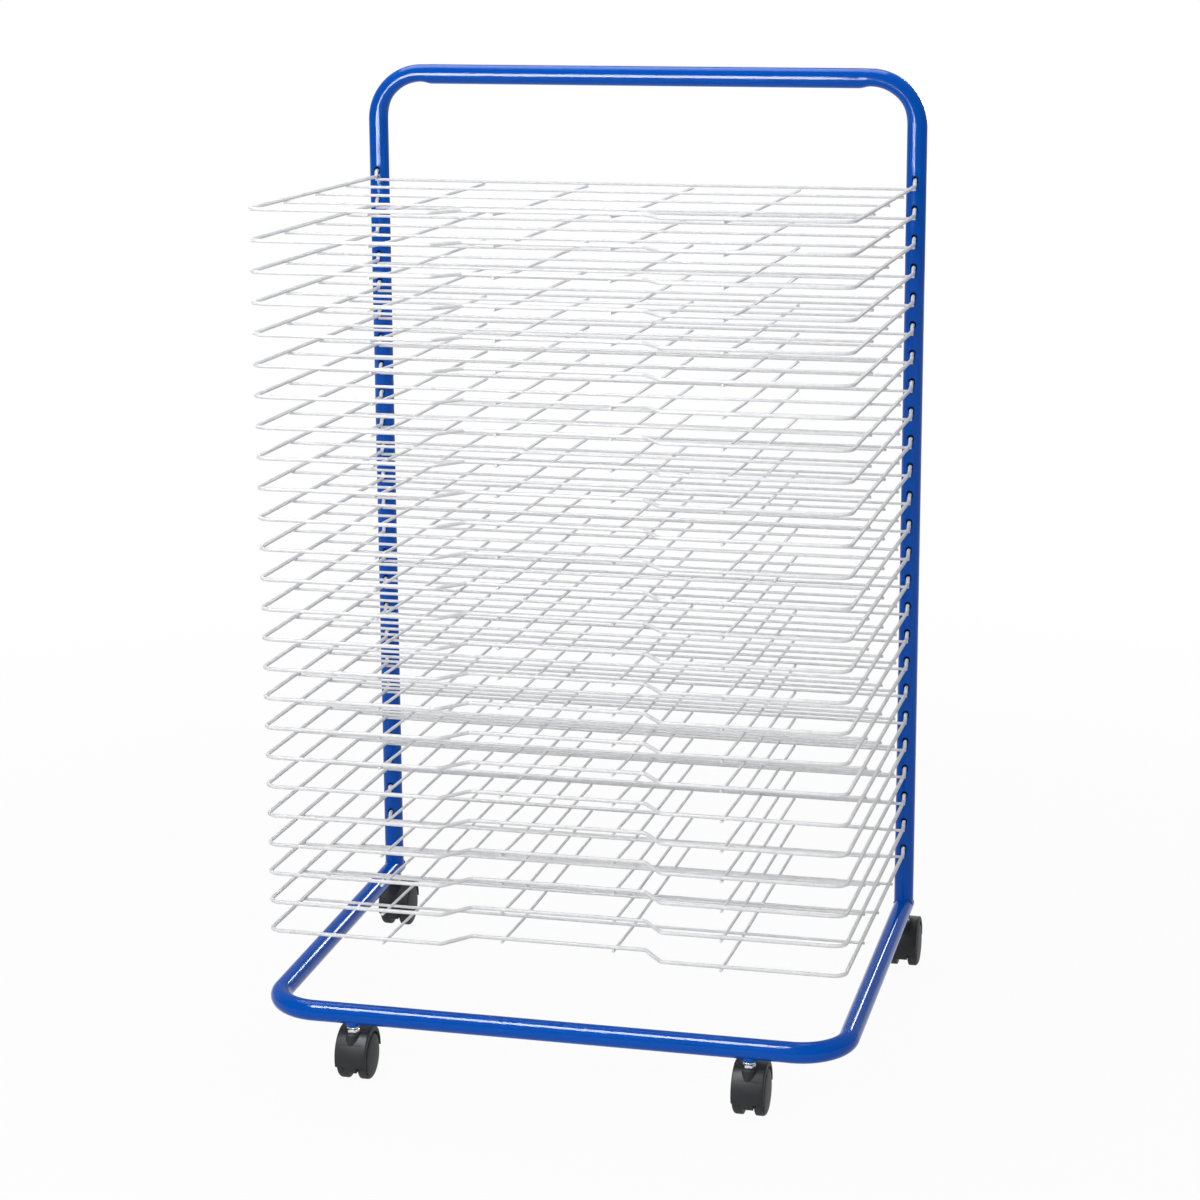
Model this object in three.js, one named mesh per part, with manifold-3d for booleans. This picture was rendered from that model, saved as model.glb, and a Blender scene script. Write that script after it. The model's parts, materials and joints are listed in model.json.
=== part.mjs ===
// An art drying rack on casters: a bent-tube upright, a bent-tube base and a stack of
// hinged wire shelves. Millimetres, +Z up, the front towards -Y, the origin on the floor
// under the middle of the rack.

import * as THREE from 'three';
import { mergeVertices } from 'three/addons/utils/BufferGeometryUtils.js';
import Module from 'manifold-3d';

const wasm = await Module();
wasm.setup();

// Driving dimensions
const CLEARANCE = 0.3;
const OVERCUT = 1;

const TUBE_D = 22;
const TUBE_WALL = 1.5;
const TUBE_SIDES = 12;
const BORE_SIDES = 8;
const FRAME_BEND = 52;
const BEND_STEPS = 5;
const POST_SPACING = 616;
const BASE_DEPTH = 463;
const TOP_RISE = 950;

const SHELF_COUNT = 25;
const SHELF_PITCH = 32;
const LOWEST_HOLE = 73;
const HOLE_SIDE_PLAY = 0.8;
const HOLE_END_PLAY = 1.75;

const EDGE_WIRE = 3.9;
const GRID_WIRE = 2.8;
const STOP_WIRE = 3;
const SHELF_REACH = 450;
const SHELF_TILT = 2;
const SHELF_CORNER = 8;
const SIDE_DROP = 4.8;
const HOOK_GAP = 0.9;
const HOOK_TUCK = 50;
const HOOK_STEPS = 2;
const RECESS_DEPTH = 33;
const RECESS_MOUTH = 235;
const RECESS_FLOOR = 187;
const RUN_COUNT = 4;
const RUN_PITCH = 120.5;
const RUN_STUB = 3.5;
const RUN_BEND = 5.6;
const CROSS_COUNT = 4;
const CROSS_PITCH = 105.6;
const CROSS_STUB = 2.5;

const CASTER_SPREAD = 426;
const WHEEL_D = 50;
const WHEEL_WIDTH = 11.7;
const WHEEL_SIDES = 18;
const WHEEL_CHAMFER = 3.6;
const WHEEL_BEVEL = 5.2;
const WHEEL_DOME = 0.8;
const TRAIL = 14;
const WEB_WIDTH = 12;
const HOOD_WALL = 3;
const HOOD_GAP = 1.4;
const HOOD_OVERHANG = 0.5;
const HOOD_LIP = 14;
const HOOD_SKIRT = 20.5;
const HOOD_STEPS = 10;
const WELL_SIDES = 14;
const NECK_D = 15.4;
const NECK_DEPTH = 19.4;
const NECK_SIDES = 8;
const NECK_RISE = 1.6;
const PIN_SIDES = 8;
const STEM_D = 8;
const STEM_ENGAGE = 20;
const AXLE_D = 6;
const NUT_SIDES = 6;
const NUT_FLATS = 13;
const NUT_HEIGHT = 6.4;
const BOSS_D = 14;
const BOSS_HEIGHT = 2.1;
const PLUG_LENGTH = 28;
const CAP_FLANGE = 2;

// Values that follow from them
const POST_X = POST_SPACING / 2;
const TUBE_R = TUBE_D / 2;
const BORE_R = TUBE_R - TUBE_WALL;
const STEM_BORE_R = STEM_D / 2 + CLEARANCE;
const AXLE_BORE_R = AXLE_D / 2 + CLEARANCE;
const WHEEL_R = WHEEL_D / 2;
const WELL_R = WHEEL_R / Math.cos(Math.PI / WHEEL_SIDES) + HOOD_GAP;
const HOOD_R = WELL_R + HOOD_WALL;
const HOOD_WIDTH = WEB_WIDTH + 2 * WHEEL_WIDTH - 2 * HOOD_OVERHANG;
const NECK_TOP = WHEEL_R + HOOD_R + NECK_RISE;
const NUT_Z = NECK_TOP + CLEARANCE;
const BOSS_Z = NUT_Z + NUT_HEIGHT + CLEARANCE;
const RAIL_HEIGHT = BOSS_Z + BOSS_HEIGHT + TUBE_R;
const POST_FOOT = RAIL_HEIGHT + TUBE_R + CLEARANCE;
const TOP_Z = RAIL_HEIGHT + TOP_RISE;
const POST_Y = (BASE_DEPTH + HOOD_R - TRAIL - (HOOD_R + TRAIL)) / 2;
const FRONT_Y = POST_Y - BASE_DEPTH;
const RAIL_END = POST_Y + TUBE_R - CAP_FLANGE;
const CAP_SPIGOT = RAIL_END - POST_Y - STEM_D / 2 - CLEARANCE;

const HOOK_R = TUBE_WALL / 2 + HOOK_GAP + EDGE_WIRE / 2;
const HINGE_Y = POST_Y - TUBE_R + TUBE_WALL / 2;
const TILT = THREE.MathUtils.degToRad(SHELF_TILT);
const HOLE_WIDTH = EDGE_WIRE + 2 * HOLE_SIDE_PLAY;
const HOLE_HEIGHT = EDGE_WIRE + 2 * HOLE_END_PLAY;

// Materials
const powderCoat = () => new THREE.MeshStandardMaterial({ color: 0x1450b8, roughness: 0.28, metalness: 0.1 });
const coatedWire = () => new THREE.MeshStandardMaterial({ color: 0xf1f2f4, roughness: 0.4, metalness: 0.1 });
const blackPlastic = () => new THREE.MeshStandardMaterial({ color: 0x232427, roughness: 0.5, metalness: 0 });
const brightSteel = () => new THREE.MeshStandardMaterial({ color: 0xc9ccd1, roughness: 0.25, metalness: 1 });

// Closed geometry to a solid, and back
function toSolid(geometry) {
  const bare = geometry.clone();
  bare.deleteAttribute('normal');
  bare.deleteAttribute('uv');
  const merged = mergeVertices(bare, 1e-4);
  const triVerts = Uint32Array.from(merged.index.array);
  const vertProperties = Float32Array.from(merged.attributes.position.array);
  const build = () => new wasm.Manifold(new wasm.Mesh({ numProp: 3, vertProperties, triVerts }));
  const solid = build();
  if (solid.volume() > 0) return solid;
  for (let i = 0; i < triVerts.length; i += 3) {
    [triVerts[i], triVerts[i + 1]] = [triVerts[i + 1], triVerts[i]];
  }
  return build();
}

function toGeometry(solid) {
  const mesh = solid.getMesh();
  const geometry = new THREE.BufferGeometry();
  geometry.setAttribute('position', new THREE.BufferAttribute(mesh.vertProperties, 3));
  geometry.setIndex(new THREE.BufferAttribute(mesh.triVerts, 1));
  geometry.computeVertexNormals();
  return geometry;
}

function addMesh(parent, name, solid, material) {
  const mesh = new THREE.Mesh(toGeometry(solid), material);
  mesh.name = name;
  parent.add(mesh);
  return mesh;
}

// A polygon whose flats, not its corners, lie at the given radius, with one flat on +X
function flatPolygon(sides, radius) {
  const corner = radius / Math.cos(Math.PI / sides);
  const points = [];
  for (let i = 0; i < sides; i += 1) {
    const angle = ((i + 0.5) * 2 * Math.PI) / sides;
    points.push(new THREE.Vector2(corner * Math.cos(angle), corner * Math.sin(angle)));
  }
  return new THREE.Shape(points);
}

// Stations along a bent tube: straight runs, with each inner corner turned as an arc
function bentStations(corners, radius, steps) {
  const stations = [corners[0].clone()];
  for (let i = 1; i < corners.length - 1; i += 1) {
    const into = corners[i].clone().sub(corners[i - 1]).normalize();
    const out = corners[i + 1].clone().sub(corners[i]).normalize();
    const turn = into.angleTo(out);
    const start = corners[i].clone().addScaledVector(into, -radius * Math.tan(turn / 2));
    const towards = out.clone().addScaledVector(into, -out.dot(into)).normalize();
    for (let s = 0; s <= steps; s += 1) {
      const angle = (turn * s) / steps;
      const along = start.clone().addScaledVector(into, radius * Math.sin(angle));
      stations.push(along.addScaledVector(towards, radius * (1 - Math.cos(angle))));
    }
  }
  stations.push(corners.at(-1).clone());
  return stations;
}

// A curve that steps from station to station, so that straight runs stay single faces
class StationCurve extends THREE.Curve {
  constructor(stations) {
    super();
    this.stations = stations;
  }

  getPointAt(u, target = new THREE.Vector3()) {
    return target.copy(this.stations[Math.round(u * (this.stations.length - 1))]);
  }

  getTangentAt(u, target = new THREE.Vector3()) {
    const last = this.stations.length - 1;
    const i = Math.round(u * last);
    const here = this.stations[i];
    const before = i > 0 ? here.clone().sub(this.stations[i - 1]).normalize() : new THREE.Vector3();
    const after = i < last ? this.stations[i + 1].clone().sub(here).normalize() : new THREE.Vector3();
    return target.copy(before).add(after).normalize();
  }
}

// A bent rod of the given section, which with an overcut runs on past both its ends
function bentTube(section, corners, overcut = 0) {
  const stations = bentStations(corners, FRAME_BEND, BEND_STEPS);
  if (overcut > 0) {
    const beyond = (end, inner) => end.clone().add(end.clone().sub(inner).setLength(overcut));
    stations.unshift(beyond(stations[0], stations[1]));
    stations.push(beyond(stations.at(-1), stations.at(-2)));
  }
  const extrudePath = new StationCurve(stations);
  return toSolid(new THREE.ExtrudeGeometry(section, { steps: stations.length - 1, extrudePath }));
}

// A square wire along a path, each corner mitred so that its flats stay flat
function wire(size, stations) {
  const half = size / 2;
  const directions = stations.slice(1).map((point, i) => point.clone().sub(stations[i]).normalize());
  const first = directions[0];
  const side = Math.abs(first.x) > 0.5 ? new THREE.Vector3(0, 1, 0) : new THREE.Vector3(1, 0, 0);
  const up = new THREE.Vector3().crossVectors(side, first).normalize();
  let ring = [[1, 1], [-1, 1], [-1, -1], [1, -1]].map(([a, b]) => stations[0].clone()
    .addScaledVector(side, a * half)
    .addScaledVector(up, b * half));
  const rings = [ring];
  directions.forEach((direction, i) => {
    const mitre = direction.clone().add(directions[i + 1] ?? direction).normalize();
    ring = ring.map((point) => {
      const reach = stations[i + 1].clone().sub(point).dot(mitre) / direction.dot(mitre);
      return point.clone().addScaledVector(direction, reach);
    });
    rings.push(ring);
  });
  const index = [0, 1, 2, 0, 2, 3];
  for (let r = 0; r < rings.length - 1; r += 1) {
    for (let c = 0; c < 4; c += 1) {
      const [a, b] = [4 * r + c, 4 * r + ((c + 1) % 4)];
      index.push(a, a + 4, b, b, a + 4, b + 4);
    }
  }
  const end = 4 * (rings.length - 1);
  index.push(end, end + 2, end + 1, end, end + 3, end + 2);
  const geometry = new THREE.BufferGeometry().setFromPoints(rings.flat());
  geometry.setIndex(index);
  return toSolid(geometry);
}

// Along Z, a prism has its flats on its circle and a rod its corners, so that a rod turns
// freely in a bore cut as a prism
function prism(radius, bottom, top, sides = PIN_SIDES) {
  const section = flatPolygon(sides, radius);
  const geometry = new THREE.ExtrudeGeometry(section, { depth: top - bottom, bevelEnabled: false });
  return toSolid(geometry.translate(0, 0, bottom));
}

function rod(radius, bottom, top, sides = PIN_SIDES) {
  return prism(radius * Math.cos(Math.PI / sides), bottom, top, sides);
}

const alongX = (solid) => solid.rotate([0, 90, 0]);

// The upright: one tube bent into an inverted U, with a column of hinge holes down each
// post's front wall
function holeHeights() {
  return Array.from({ length: SHELF_COUNT }, (_, k) => (
    RAIL_HEIGHT + LOWEST_HOLE + (SHELF_COUNT - 1 - k) * SHELF_PITCH));
}

function makeUpright() {
  const outline = [
    new THREE.Vector3(-POST_X, 0, POST_FOOT),
    new THREE.Vector3(-POST_X, 0, TOP_Z),
    new THREE.Vector3(POST_X, 0, TOP_Z),
    new THREE.Vector3(POST_X, 0, POST_FOOT),
  ];
  let solid = bentTube(flatPolygon(TUBE_SIDES, TUBE_R), outline);
  solid = solid.subtract(bentTube(flatPolygon(BORE_SIDES, BORE_R), outline, OVERCUT));
  const punch = new THREE.BoxGeometry(HOLE_WIDTH, 2 * TUBE_WALL, HOLE_HEIGHT);
  const cutter = toSolid(punch.translate(0, TUBE_WALL / 2 - TUBE_R, 0));
  for (const z of holeHeights()) {
    solid = solid.subtract(cutter.translate([-POST_X, 0, z]));
    solid = solid.subtract(cutter.translate([POST_X, 0, z]));
  }
  return solid.translate([0, POST_Y, 0]);
}

// The base: one tube bent into a U, open at its rear ends, with a welded boss above each
// caster and a bore for the caster's stem
const CASTERS = [
  { name: 'front_left', x: -CASTER_SPREAD / 2, y: FRONT_Y },
  { name: 'front_right', x: CASTER_SPREAD / 2, y: FRONT_Y },
  { name: 'rear_left', x: -POST_X, y: POST_Y },
  { name: 'rear_right', x: POST_X, y: POST_Y },
];

const isRear = (caster) => caster.y === POST_Y;

function makeBase() {
  const outline = [
    new THREE.Vector3(-POST_X, RAIL_END, RAIL_HEIGHT),
    new THREE.Vector3(-POST_X, FRONT_Y, RAIL_HEIGHT),
    new THREE.Vector3(POST_X, FRONT_Y, RAIL_HEIGHT),
    new THREE.Vector3(POST_X, RAIL_END, RAIL_HEIGHT),
  ];
  let solid = bentTube(flatPolygon(TUBE_SIDES, TUBE_R), outline);
  for (const caster of CASTERS) {
    solid = solid.add(rod(BOSS_D / 2, BOSS_Z, RAIL_HEIGHT).translate([caster.x, caster.y, 0]));
  }
  solid = solid.subtract(bentTube(flatPolygon(BORE_SIDES, BORE_R), outline, OVERCUT));
  for (const caster of CASTERS) {
    const top = isRear(caster) ? RAIL_HEIGHT + TUBE_D : RAIL_HEIGHT;
    const stemBore = prism(STEM_BORE_R, BOSS_Z - OVERCUT, top);
    solid = solid.subtract(stemBore.translate([caster.x, caster.y, 0]));
  }
  return solid;
}

// A shelf, drawn about its hinge axis: an edge wire bent round three sides, hooked into
// the post at each end and set back at the front for the fingers; cross wires welded
// under its sides; and front-to-back wires under those, rising to pass under the front.
// It is drawn level, and at rest it leans up at the front by its tilt, where the rearmost
// cross wire comes up against the posts
function makeShelf() {
  const front = HINGE_Y - (POST_Y - SHELF_REACH);
  const hook = (sign) => Array.from({ length: HOOK_STEPS + 1 }, (_, i) => {
    const angle = THREE.MathUtils.degToRad(HOOK_TUCK - ((HOOK_TUCK + 90) * i) / HOOK_STEPS);
    return new THREE.Vector3(sign * POST_X, HOOK_R * Math.sin(angle), HOOK_R * Math.cos(angle));
  });
  const edge = (sign) => [
    ...hook(sign),
    new THREE.Vector3(sign * POST_X, -HOOK_R, -SIDE_DROP),
    new THREE.Vector3(sign * POST_X, -front + SHELF_CORNER, -SIDE_DROP),
    new THREE.Vector3(sign * (POST_X - SHELF_CORNER), -front, -SIDE_DROP),
    new THREE.Vector3((sign * RECESS_MOUTH) / 2, -front, -SIDE_DROP),
    new THREE.Vector3((sign * RECESS_FLOOR) / 2, -front + RECESS_DEPTH, -SIDE_DROP),
  ];
  let solid = wire(EDGE_WIRE, [...edge(-1), ...edge(1).reverse()]);

  const underEdge = -SIDE_DROP - EDGE_WIRE / 2;
  const stopFace = (TUBE_WALL / 2 + CLEARANCE) / Math.cos(TILT) + underEdge * Math.tan(TILT);
  const rearY = -stopFace - STOP_WIRE / 2;
  const crossEnd = POST_X + EDGE_WIRE / 2 + CROSS_STUB;
  for (let i = 0; i < CROSS_COUNT; i += 1) {
    const size = i === 0 ? STOP_WIRE : GRID_WIRE;
    const end = new THREE.Vector3(crossEnd, rearY - i * CROSS_PITCH, underEdge - size / 2);
    solid = solid.add(wire(size, [end.clone().setX(-crossEnd), end]));
  }

  const lastCrossY = rearY - (CROSS_COUNT - 1) * CROSS_PITCH;
  const runZ = underEdge - STOP_WIRE - GRID_WIRE / 2;
  for (let i = 0; i < RUN_COUNT; i += 1) {
    const x = (i - (RUN_COUNT - 1) / 2) * RUN_PITCH;
    const inRecess = Math.abs(x) < RECESS_FLOOR / 2;
    const frontY = -front + (inRecess ? RECESS_DEPTH : 0);
    const run = wire(GRID_WIRE, [
      new THREE.Vector3(x, rearY + STOP_WIRE / 2, runZ),
      new THREE.Vector3(x, lastCrossY - RUN_BEND, runZ),
      new THREE.Vector3(x, frontY - EDGE_WIRE / 2 - RUN_STUB, underEdge - GRID_WIRE / 2),
    ]);
    solid = solid.add(run);
  }
  return solid;
}

// A twin-wheel caster, drawn about its swivel axis with the floor at zero. The hood's web
// reaches down between the wheels to its lip, and its sides stop higher, at the skirt
function makeHood() {
  const lip = WHEEL_R - HOOD_LIP;
  const reach = Math.asin(lip / HOOD_R);
  const profile = new THREE.Shape();
  profile.absarc(0, 0, HOOD_R, -reach, Math.PI + reach, false);
  profile.closePath();
  const block = new THREE.ExtrudeGeometry(profile, {
    depth: HOOD_WIDTH,
    bevelEnabled: false,
    curveSegments: HOOD_STEPS,
  });
  block.translate(0, 0, -HOOD_WIDTH / 2);
  block.rotateX(Math.PI / 2);
  block.rotateZ(Math.PI / 2);
  let solid = toSolid(block.translate(0, TRAIL, WHEEL_R));
  const neck = prism(NECK_D / 2, WHEEL_R, NECK_TOP, NECK_SIDES);
  solid = solid.add(neck.scale([1, NECK_DEPTH / NECK_D, 1]));
  const well = alongX(prism(WELL_R, WEB_WIDTH / 2 - CLEARANCE, HOOD_WIDTH, WELL_SIDES));
  solid = solid.subtract(well.translate([0, TRAIL, WHEEL_R]));
  solid = solid.subtract(well.rotate([0, 0, 180]).translate([0, TRAIL, WHEEL_R]));
  for (const sign of [-1, 1]) {
    const underSkirt = new THREE.BoxGeometry(HOOD_WIDTH, 3 * HOOD_R, HOOD_SKIRT);
    const besideWeb = (sign * (WEB_WIDTH + HOOD_WIDTH)) / 2;
    solid = solid.subtract(toSolid(underSkirt.translate(besideWeb, TRAIL, HOOD_SKIRT / 2)));
  }
  solid = solid.subtract(prism(STEM_BORE_R, NECK_TOP - STEM_ENGAGE, NECK_TOP + OVERCUT));
  const axleBore = alongX(prism(AXLE_BORE_R, -WEB_WIDTH, WEB_WIDTH));
  return solid.subtract(axleBore.translate([0, TRAIL, WHEEL_R]));
}

function makeWheel() {
  const corner = WHEEL_R / Math.cos(Math.PI / WHEEL_SIDES);
  const inner = WEB_WIDTH / 2;
  const outer = inner + WHEEL_WIDTH;
  const profile = [
    new THREE.Vector2(0, outer + WHEEL_DOME),
    new THREE.Vector2(corner - WHEEL_BEVEL, outer),
    new THREE.Vector2(corner, outer - WHEEL_CHAMFER),
    new THREE.Vector2(corner, inner),
    new THREE.Vector2(0, inner),
  ];
  const lathe = new THREE.LatheGeometry(profile, WHEEL_SIDES, Math.PI / WHEEL_SIDES);
  const wheel = toSolid(lathe.rotateZ(-Math.PI / 2));
  return wheel.subtract(alongX(prism(AXLE_BORE_R, 0, outer - WHEEL_CHAMFER)));
}

function makeNut() {
  const blank = prism(NUT_FLATS / 2, NUT_Z, NUT_Z + NUT_HEIGHT, NUT_SIDES);
  return blank.subtract(prism(STEM_BORE_R, NUT_Z - OVERCUT, NUT_Z + NUT_HEIGHT + OVERCUT));
}

function addCaster(parent, caster) {
  const group = new THREE.Group();
  group.position.set(caster.x, caster.y, 0);
  parent.add(group);
  const stemTop = isRear(caster) ? POST_FOOT + PLUG_LENGTH - STEM_D / 2 : RAIL_HEIGHT;
  const stem = rod(STEM_D / 2, NECK_TOP - STEM_ENGAGE + CLEARANCE, stemTop);
  addMesh(group, `caster_stem_${caster.name}`, stem, brightSteel());
  addMesh(group, `caster_nut_${caster.name}`, makeNut(), brightSteel());
  addMesh(group, `caster_hood_${caster.name}`, makeHood(), blackPlastic());
  const axleReach = WEB_WIDTH / 2 + WHEEL_WIDTH - WHEEL_CHAMFER - CLEARANCE;
  const axle = addMesh(group, `caster_axle_${caster.name}`,
    alongX(rod(AXLE_D / 2, -axleReach, axleReach)), brightSteel());
  const right = addMesh(group, `wheel_right_${caster.name}`, makeWheel(), blackPlastic());
  const left = addMesh(group, `wheel_left_${caster.name}`, makeWheel(), blackPlastic());
  left.rotation.z = Math.PI;
  for (const mesh of [axle, right, left]) mesh.position.set(0, TRAIL, WHEEL_R);
}

// The plug in each post's foot that the rear stem screws into, and the cap on each rail
function makePlug() {
  const blank = prism(BORE_R - CLEARANCE, POST_FOOT, POST_FOOT + PLUG_LENGTH, BORE_SIDES);
  return blank.subtract(prism(STEM_BORE_R, POST_FOOT - OVERCUT, POST_FOOT + PLUG_LENGTH + OVERCUT));
}

function makeCap() {
  const flange = prism(TUBE_R, CLEARANCE, CAP_FLANGE, TUBE_SIDES);
  const spigot = prism(BORE_R - CLEARANCE, -CAP_SPIGOT, CAP_FLANGE / 2, BORE_SIDES);
  return flange.add(spigot).rotate([-90, 0, 0]);
}

const rack = new THREE.Group();
addMesh(rack, 'upright_frame', makeUpright(), powderCoat());
addMesh(rack, 'base_frame', makeBase(), powderCoat());
for (const [side, sign] of [['left', -1], ['right', 1]]) {
  const plug = addMesh(rack, `post_plug_${side}`, makePlug(), brightSteel());
  plug.position.set(sign * POST_X, POST_Y, 0);
  const cap = addMesh(rack, `rail_cap_${side}`, makeCap(), blackPlastic());
  cap.position.set(sign * POST_X, RAIL_END, RAIL_HEIGHT);
}
const shelfSolid = makeShelf();
holeHeights().forEach((z, k) => {
  const name = `shelf_${String(k + 1).padStart(2, '0')}`;
  const shelf = addMesh(rack, name, shelfSolid, coatedWire());
  shelf.position.set(0, HINGE_Y, z - HOOK_R);
  shelf.rotation.x = -TILT;
});
for (const caster of CASTERS) addCaster(rack, caster);

export default rack;
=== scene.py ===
# %% [markdown]
# # An art drying rack on casters
# The rack is a blue tube bent into an upright, a second tube bent into a base, a stack
# of hinged wire shelves and four twin-wheel casters. Its solids already exist in one
# shared frame, so each piece here is measured from that frame, built finer than the solid
# it stands for, and then rides on the same moving body.

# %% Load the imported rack
import json
import math
import bmesh
import bpy
from mathutils import Matrix, Vector


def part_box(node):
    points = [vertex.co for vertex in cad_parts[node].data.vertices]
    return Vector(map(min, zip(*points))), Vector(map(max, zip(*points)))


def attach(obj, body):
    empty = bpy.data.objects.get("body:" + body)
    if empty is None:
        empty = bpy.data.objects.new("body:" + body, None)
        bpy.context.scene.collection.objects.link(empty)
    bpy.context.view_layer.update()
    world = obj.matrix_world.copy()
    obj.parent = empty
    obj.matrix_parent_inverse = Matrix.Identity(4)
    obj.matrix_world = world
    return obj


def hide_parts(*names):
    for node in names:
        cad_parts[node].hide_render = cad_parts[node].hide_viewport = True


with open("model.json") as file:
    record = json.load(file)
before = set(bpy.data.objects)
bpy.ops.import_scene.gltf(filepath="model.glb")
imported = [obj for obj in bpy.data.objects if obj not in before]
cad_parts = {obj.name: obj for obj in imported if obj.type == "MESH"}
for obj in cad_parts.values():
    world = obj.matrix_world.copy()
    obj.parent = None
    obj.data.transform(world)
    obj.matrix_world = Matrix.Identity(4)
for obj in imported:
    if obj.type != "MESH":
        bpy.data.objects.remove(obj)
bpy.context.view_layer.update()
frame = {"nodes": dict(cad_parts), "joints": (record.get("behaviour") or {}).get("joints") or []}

# %% [markdown]
# ## Measure the rack
# Sizes could be typed in again, but then they could drift from the solids. The boxes of
# the two tubes give the tube's radius, the posts' places and the rail's height, and each
# hinge gives its own shelf's place. Lengths are in millimetres, as on a workshop drawing.

# %% Measure the tubes, the hinges and the casters
MM = 0.001
upright_low, upright_high = (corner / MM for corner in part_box("upright_frame"))
base_low, base_high = (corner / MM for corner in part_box("base_frame"))

TUBE_R = (upright_high.y - upright_low.y) / 2
POST_X = upright_high.x - TUBE_R
POST_Y = (upright_low.y + upright_high.y) / 2
POST_FOOT = upright_low.z
TOP_Z = upright_high.z - TUBE_R
FRONT_Y = base_low.y + TUBE_R
RAIL_END = base_high.y
RAIL_Z = base_high.z - TUBE_R
BOSS_Z = base_low.z

HINGES = {
    joint["child"]: Vector(joint["pos_m"]) / MM
    for joint in frame["joints"]
    if joint["child"].startswith("shelf")
}
CORNERS = ["front_left", "front_right", "rear_left", "rear_right"]


def middle(node):
    """The middle of a solid's box, in millimetres."""
    low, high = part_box(node)
    return (low + high) / 2 / MM


STEMS = {corner: middle("caster_stem_" + corner) for corner in CORNERS}
print("tube radius", round(TUBE_R, 2), "posts at", round(POST_X, 1), "shelves", len(HINGES))

# %% [markdown]
# ## Shapes as points and faces
# Every piece is a plain list of points and faces before it is a mesh, so a wire, a tube
# and a turned part can share a few small helpers. Blender's own primitives would be quicker,
# but a bent wire or a punched tube isn't one of them.

# %% Helpers for rings of points
def joined(*shapes):
    """Several shapes as one."""
    points, faces = [], []
    for some_points, some_faces in shapes:
        start = len(points)
        points += some_points
        faces += [tuple(i + start for i in face) for face in some_faces]
    return points, faces


def band(first, second):
    """Quads between two closed loops of point numbers."""
    count = len(first)
    return [
        (first[i], first[(i + 1) % count], second[(i + 1) % count], second[i])
        for i in range(count)
    ]


def skin(rings, closed=False):
    """A skin over rings of points: closed on itself, or with a flat face on each end."""
    count = len(rings[0])
    loops = [range(r * count, (r + 1) * count) for r in range(len(rings))]
    faces = []
    for first, second in zip(loops, loops[1:]):
        faces += band(first, second)
    if closed:
        faces += band(loops[-1], loops[0])
    else:
        faces += [tuple(reversed(loops[0])), tuple(loops[-1])]
    return [point for ring in rings for point in ring], faces


def circle(radius, sides, z=0.0):
    """A ring of points about Z."""
    turns = [2 * math.pi * i / sides for i in range(sides)]
    return [Vector((radius * math.cos(a), radius * math.sin(a), z)) for a in turns]


def turned(profile, sides=48):
    """A part turned on a lathe about Z, from pairs of radius and height."""
    return skin([circle(radius, sides, z) for radius, z in profile])


def block(low, high):
    """A box between two corners."""
    (x0, y0, z0), (x1, y1, z1) = low, high
    outline = [(x0, y0), (x1, y0), (x1, y1), (x0, y1)]
    return skin([[Vector((x, y, z)) for x, y in outline] for z in (z0, z1)])


def moved(shape, matrix):
    """A shape carried along by a matrix."""
    points, faces = shape
    return [matrix @ point for point in points], faces


# %% Helpers for meshes and pieces
def add(name, data):
    """A new object in the scene."""
    made = bpy.data.objects.new(name, data)
    bpy.context.scene.collection.objects.link(made)
    return made


def faced_mesh(name, points, faces):
    """A mesh whose faces all look outwards."""
    mesh = bpy.data.meshes.new(name)
    mesh.from_pydata(points, [], faces)
    shell = bmesh.new()
    shell.from_mesh(mesh)
    bmesh.ops.recalc_face_normals(shell, faces=shell.faces)
    shell.to_mesh(mesh)
    shell.free()
    return mesh


def make_mesh(name, shape, finish, crease=35):
    """A mesh in metres from a shape in millimetres, smooth but for edges past the crease."""
    points, faces = shape
    mesh = faced_mesh(name, [point * MM for point in points], faces)
    mesh.shade_smooth()
    mesh.set_sharp_from_angle(angle=math.radians(crease))
    mesh.materials.append(finish)
    return mesh


def place(name, mesh, body, node=None, at=(0, 0, 0), turn=(0, 0, 0)):
    """A piece at a point in millimetres, riding on its body, in place of a solid if it has one."""
    piece = add(name, mesh)
    piece.location = Vector(at) * MM
    piece.rotation_euler = turn
    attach(piece, body)
    if node:
        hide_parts(node)


# %% [markdown]
# ## A way to write finishes
# A finish is a small graph of nodes. Linking sockets by hand hides the thought behind it,
# so one class wraps a socket and lets shader maths be written as Python sums. Colours
# never go through a Math node, which would turn them grey: they are mixed instead.

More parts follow.
